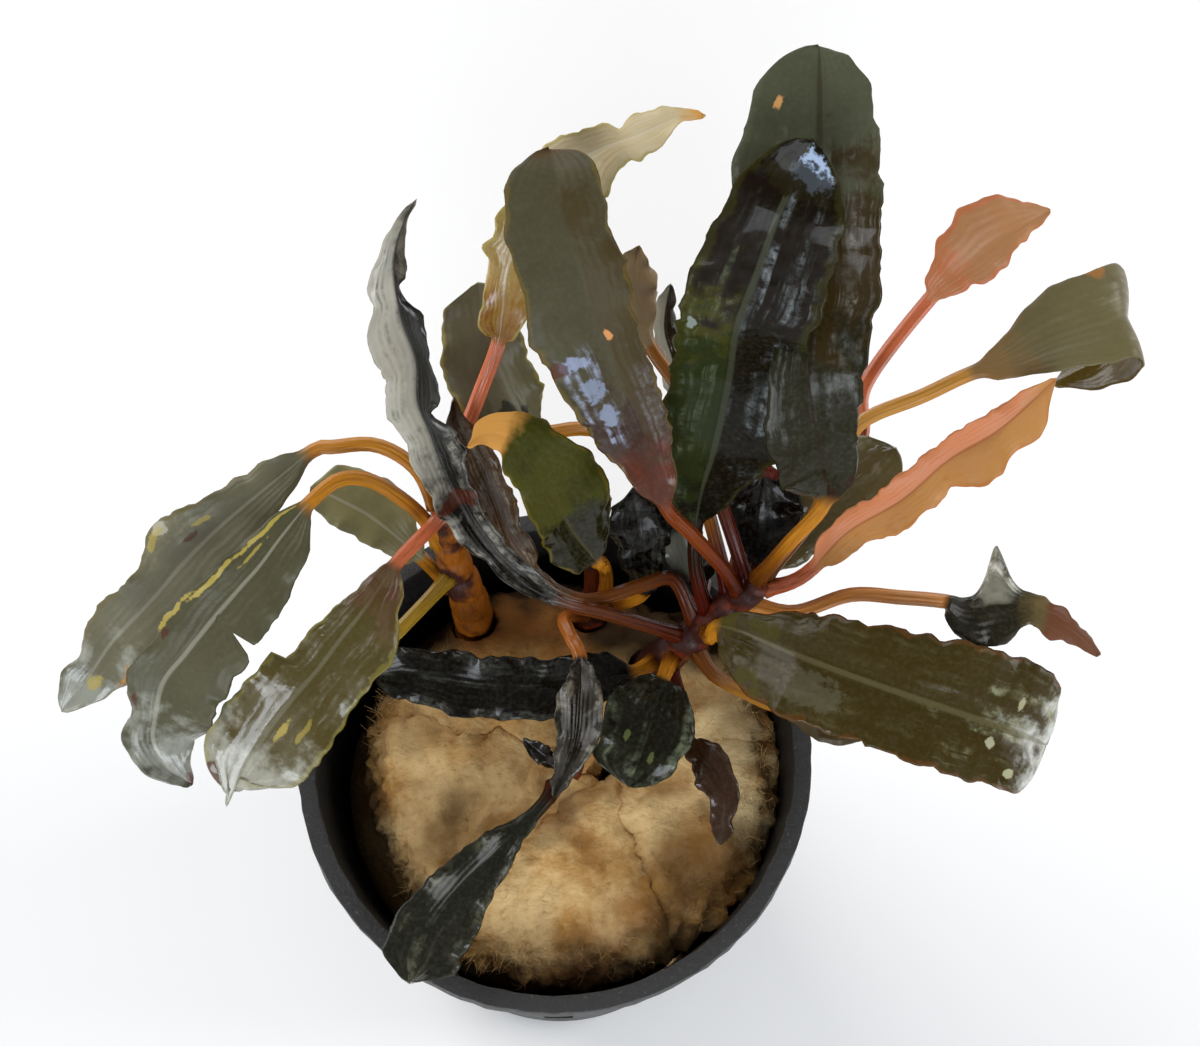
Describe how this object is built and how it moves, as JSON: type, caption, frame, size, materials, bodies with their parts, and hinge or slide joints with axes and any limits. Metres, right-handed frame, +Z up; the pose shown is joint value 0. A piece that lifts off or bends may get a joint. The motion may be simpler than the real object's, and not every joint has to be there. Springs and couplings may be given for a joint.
{
  "type": "potted aquarium plant",
  "caption": "Small dark-leaved aquarium plant with wavy glossy leaves on creeping stems, growing from split rock wool in a tapered net pot.",
  "frame": {"origin": "centre of the pot's flat foot, on the surface it stands on", "axes": "+Z up along the pot's axis, -Y towards the side that the picture was taken from, +X to its right"},
  "size_m": [0.103, 0.0756, 0.1085],
  "materials": {
    "pot_plastic": "black moulded plastic, satin, slightly scuffed on the rim",
    "rock_wool": "damp tan fibrous wool, matte and fuzzy",
    "stem": "ochre to maroon rhizome, moist and smooth",
    "leaf_dark": "near-black green leaf, wet and glossy",
    "leaf_grey": "grey-green leaf with a soft sheen",
    "leaf_olive": "olive-brown leaf, glossy in patches",
    "leaf_green": "fresh green leaf with a yellow margin",
    "leaf_young": "young salmon-orange leaf, thin and waxy",
    "leaf_brown": "dark brown old leaf, wet"
  },
  "bodies": {
    "root": {"pot": "pot_plastic", "rock_wool_front": "rock_wool", "rock_wool_right": "rock_wool", "rock_wool_back": "rock_wool", "rock_wool_left": "rock_wool", "stem_left": "stem", "stem_right": "stem", "stem_middle": "stem", "leaf_left_long": "leaf_grey", "leaf_left_middle": "leaf_grey", "leaf_left_front": "leaf_olive", "leaf_left_under": "leaf_grey", "leaf_left_back": "leaf_grey", "leaf_upper_left": "leaf_olive", "leaf_tall_ribbon": "leaf_dark", "leaf_short_ribbon": "leaf_dark", "leaf_upper_broad": "leaf_grey", "leaf_tall_back": "leaf_dark", "leaf_tall_front": "leaf_dark", "leaf_back_right": "leaf_young", "leaf_right_upper": "leaf_grey", "leaf_right_young": "leaf_young", "leaf_right_twisted": "leaf_dark", "leaf_right_broad": "leaf_olive", "leaf_right_under": "leaf_olive", "leaf_right_dark": "leaf_dark", "leaf_across_wool": "leaf_dark", "leaf_front_folded": "leaf_dark", "leaf_front_dark": "leaf_dark", "leaf_front_brown": "leaf_brown", "leaf_sliver": "leaf_brown", "leaf_over_rim": "leaf_dark", "leaf_centre_green": "leaf_green", "leaf_centre_dark": "leaf_dark", "leaf_centre_back": "leaf_dark", "leaf_centre_grey": "leaf_grey", "leaf_back_grey": "leaf_grey", "leaf_back_hidden": "leaf_brown", "leaf_back_narrow": "leaf_dark", "leaf_brown_curl": "leaf_brown"}
  },
  "joints": []
}
